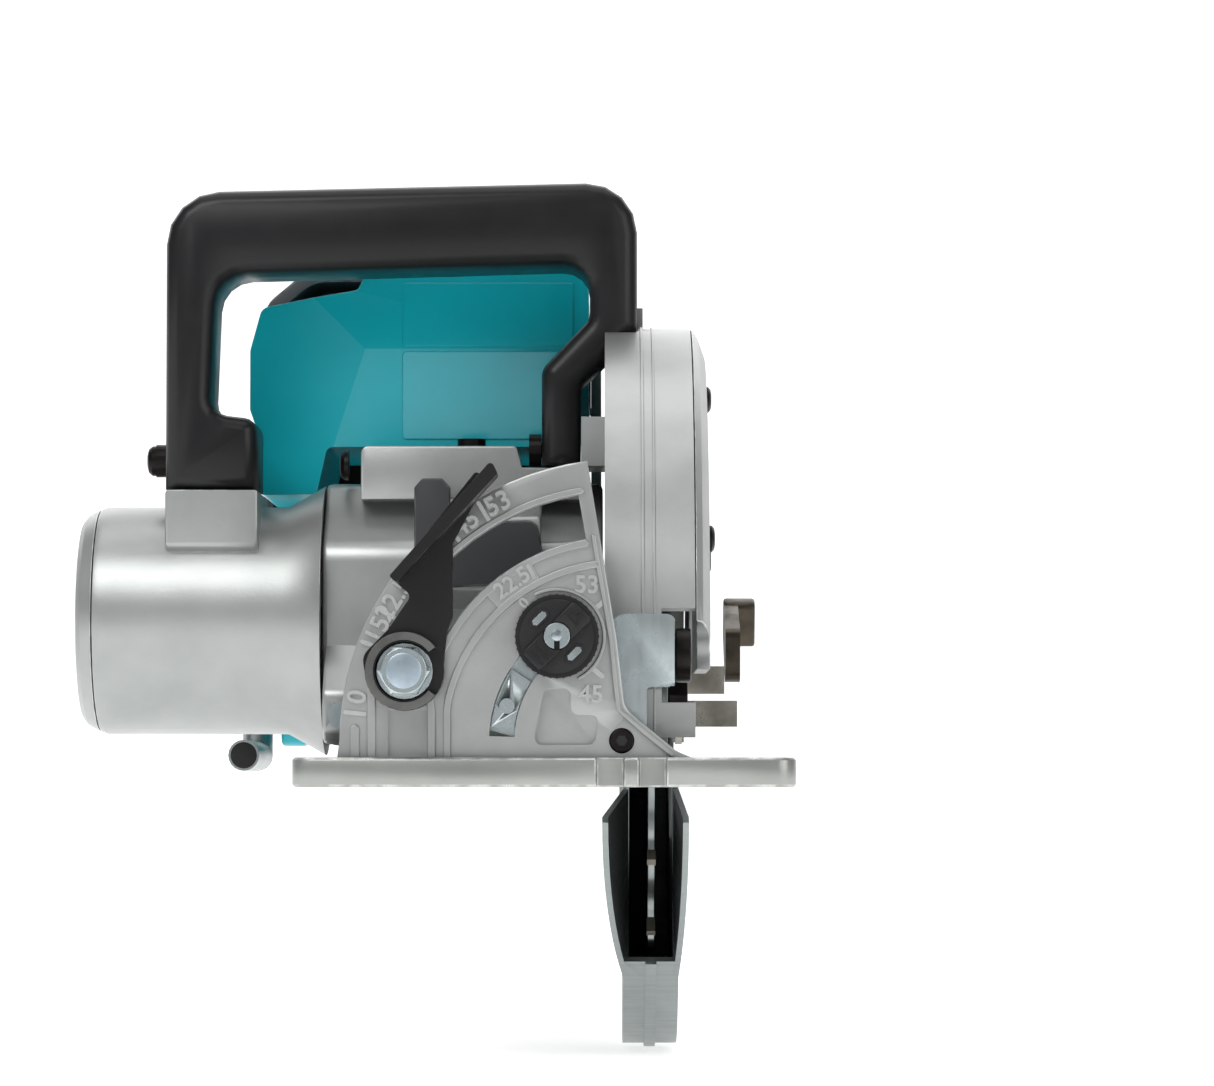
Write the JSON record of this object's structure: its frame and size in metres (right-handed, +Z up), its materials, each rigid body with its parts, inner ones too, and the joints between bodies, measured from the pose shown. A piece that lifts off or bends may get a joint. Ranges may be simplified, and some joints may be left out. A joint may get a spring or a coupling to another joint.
{
  "type": "circular saw",
  "caption": "Cordless rear-handle circular saw with a tilting, lifting body on a flat base, a swinging lower guard, a looped front handle and a closed rear handle.",
  "frame": {"origin": "underside of the base's front bar, below the middle of the blade's thickness", "axes": "+X away from the motor and out past the blade, +Y from the front of the saw to the rear handle, +Z up from the sole"},
  "size_m": [0.197, 0.4273, 0.2609],
  "materials": {
    "cast_silver": "satin metallic silver paint on cast aluminium",
    "zinc": "bright zinc-plated steel",
    "nickel": "nickel-plated steel",
    "steel": "ground steel",
    "black_steel": "black oxide steel",
    "lever_brown": "dark coated steel",
    "black_plastic": "black glass-filled plastic",
    "grey_plastic": "dark grey plastic",
    "teal": "teal housing plastic",
    "rubber": "black rubber",
    "copper": "varnished copper winding and laminations"
  },
  "bodies": {
    "base": {"base_plate": "cast_silver", "front_bevel_bracket": "cast_silver", "rear_bevel_bracket": "cast_silver", "front_pivot_pin": "black_steel", "rear_pivot_pin": "black_steel", "bevel_stop_plate": "zinc"},
    "stop_knob": {"bevel_stop_knob": "black_plastic", "stop_knob_clip": "zinc"},
    "carriage": {"front_angular_plate": "zinc", "rear_angular_plate": "zinc", "depth_guide": "steel", "depth_pivot_pin": "black_steel", "bevel_lock_bolt": "zinc", "lock_bolt_washer": "zinc", "rear_lock_bolt": "zinc"},
    "bevel_lever": {"bevel_lock_lever": "black_steel"},
    "wing_nut": {"rear_wing_nut": "zinc"},
    "saw_body": {"gear_housing": "cast_silver", "zero_stop_screw": "zinc", "housing_screw": "black_steel", "motor_housing": "cast_silver", "motor_end_cap": "steel", "stator": "copper", "motor_bearing_left": "steel", "bearing_retainer": "cast_silver", "motor_bearing_right": "steel", "spindle_bearing": "steel", "blade_case": "cast_silver", "blade_case_outer_plate": "cast_silver", "depth_clamp_bolt": "zinc", "front_handle": "black_plastic", "handle_screw_left": "black_steel", "handle_screw_right": "black_steel", "controller_housing_front": "teal", "controller_housing_rear": "grey_plastic", "controller_module": "grey_plastic", "rear_handle_left": "teal", "rear_handle_right": "teal", "switch_body": "grey_plastic", "hook_pivot": "teal"},
    "blade_drive": {"spindle": "steel", "driven_gear": "steel", "inner_flange": "steel", "blade": "steel", "outer_flange": "steel", "blade_bolt": "black_steel"},
    "motor_rotor": {"rotor": "copper", "cooling_fan": "black_plastic"},
    "guard": {"lower_guard": "steel", "guard_lever_bracket": "nickel", "guard_lever": "lever_brown"},
    "depth_lever": {"depth_lock_lever": "black_plastic"},
    "shaft_lock": {"shaft_lock_lever": "grey_plastic"},
    "trigger": {"trigger": "black_plastic"},
    "lock_off": {"lock_off_button": "rubber"},
    "battery": {"battery_pack": "black_plastic"},
    "battery_release": {"battery_button": "grey_plastic"},
    "hook": {"rafter_hook": "steel"}
  },
  "joints": [
    {"name": "bevel_tilt", "type": "hinge", "parent": "base", "child": "carriage", "pos_m": [-0.008, 0, 0.012], "axis": [0, 1, 0], "range_deg": [0, 53]},
    {"name": "depth_pivot", "type": "hinge", "parent": "carriage", "child": "saw_body", "pos_m": [0, 0.015, 0.0345], "axis": [1, 0, 0], "range_deg": [0, 34]},
    {"name": "stop_knob_turn", "type": "hinge", "parent": "base", "child": "stop_knob", "pos_m": [-0.0247, 0, 0.0389], "axis": [0, 1, 0], "range_deg": [0, 120]},
    {"name": "bevel_lever_turn", "type": "hinge", "parent": "carriage", "child": "bevel_lever", "pos_m": [-0.06402, 0, 0.02988], "axis": [0, 1, 0], "range_deg": [-60, 0]},
    {"name": "wing_nut_turn", "type": "hinge", "parent": "carriage", "child": "wing_nut", "pos_m": [-0.04401, 0.253, 0.03797], "axis": [0, 1, 0], "range_deg": [0, 150]},
    {"name": "blade_spin", "type": "hinge", "parent": "saw_body", "child": "blade_drive", "pos_m": [0, 0.117, 0.0255], "axis": [1, 0, 0], "continuous": true},
    {"name": "rotor_spin", "type": "hinge", "parent": "saw_body", "child": "motor_rotor", "pos_m": [0, 0.1236, 0.04691], "axis": [1, 0, 0], "continuous": true},
    {"name": "guard_swing", "type": "hinge", "parent": "saw_body", "child": "guard", "pos_m": [0, 0.117, 0.0255], "axis": [1, 0, 0], "range_deg": [0, 105], "stiffness_Nm_per_rad": 0.35, "springref_deg": -68.75},
    {"name": "depth_lever_turn", "type": "hinge", "parent": "saw_body", "child": "depth_lever", "pos_m": [0, 0.20454, 0.04775], "axis": [1, 0, 0], "range_deg": [0, 35]},
    {"name": "shaft_lock_press", "type": "slide", "parent": "saw_body", "child": "shaft_lock", "axis": [0, 1, 0], "range_m": [0, 0.002], "stiffness_N_per_m": 400, "springref_m": -0.003},
    {"name": "trigger_pull", "type": "hinge", "parent": "saw_body", "child": "trigger", "pos_m": [0, 0.318, 0.15], "axis": [-1, 0, 0], "range_deg": [0, 5], "stiffness_Nm_per_rad": 0.3, "springref_deg": -17.19},
    {"name": "lock_off_press", "type": "slide", "parent": "saw_body", "child": "lock_off", "axis": [1, 0, 0], "range_m": [0, 0.0025], "stiffness_N_per_m": 250, "springref_m": -0.002},
    {"name": "battery_slide", "type": "slide", "parent": "saw_body", "child": "battery", "axis": [0, 1, 0], "range_m": [0, 0.06]},
    {"name": "battery_release_press", "type": "slide", "parent": "battery", "child": "battery_release", "axis": [0, -1, 0], "range_m": [0, 0.0025], "stiffness_N_per_m": 400, "springref_m": -0.002},
    {"name": "hook_swing", "type": "hinge", "parent": "saw_body", "child": "hook", "pos_m": [-0.1195, 0.25, 0.062], "axis": [0, 1, 0], "range_deg": [0, 90]}
  ],
  "couplings": [
    {"joint": "rotor_spin", "follows": "blade_spin", "ratio": -4.6}
  ]
}
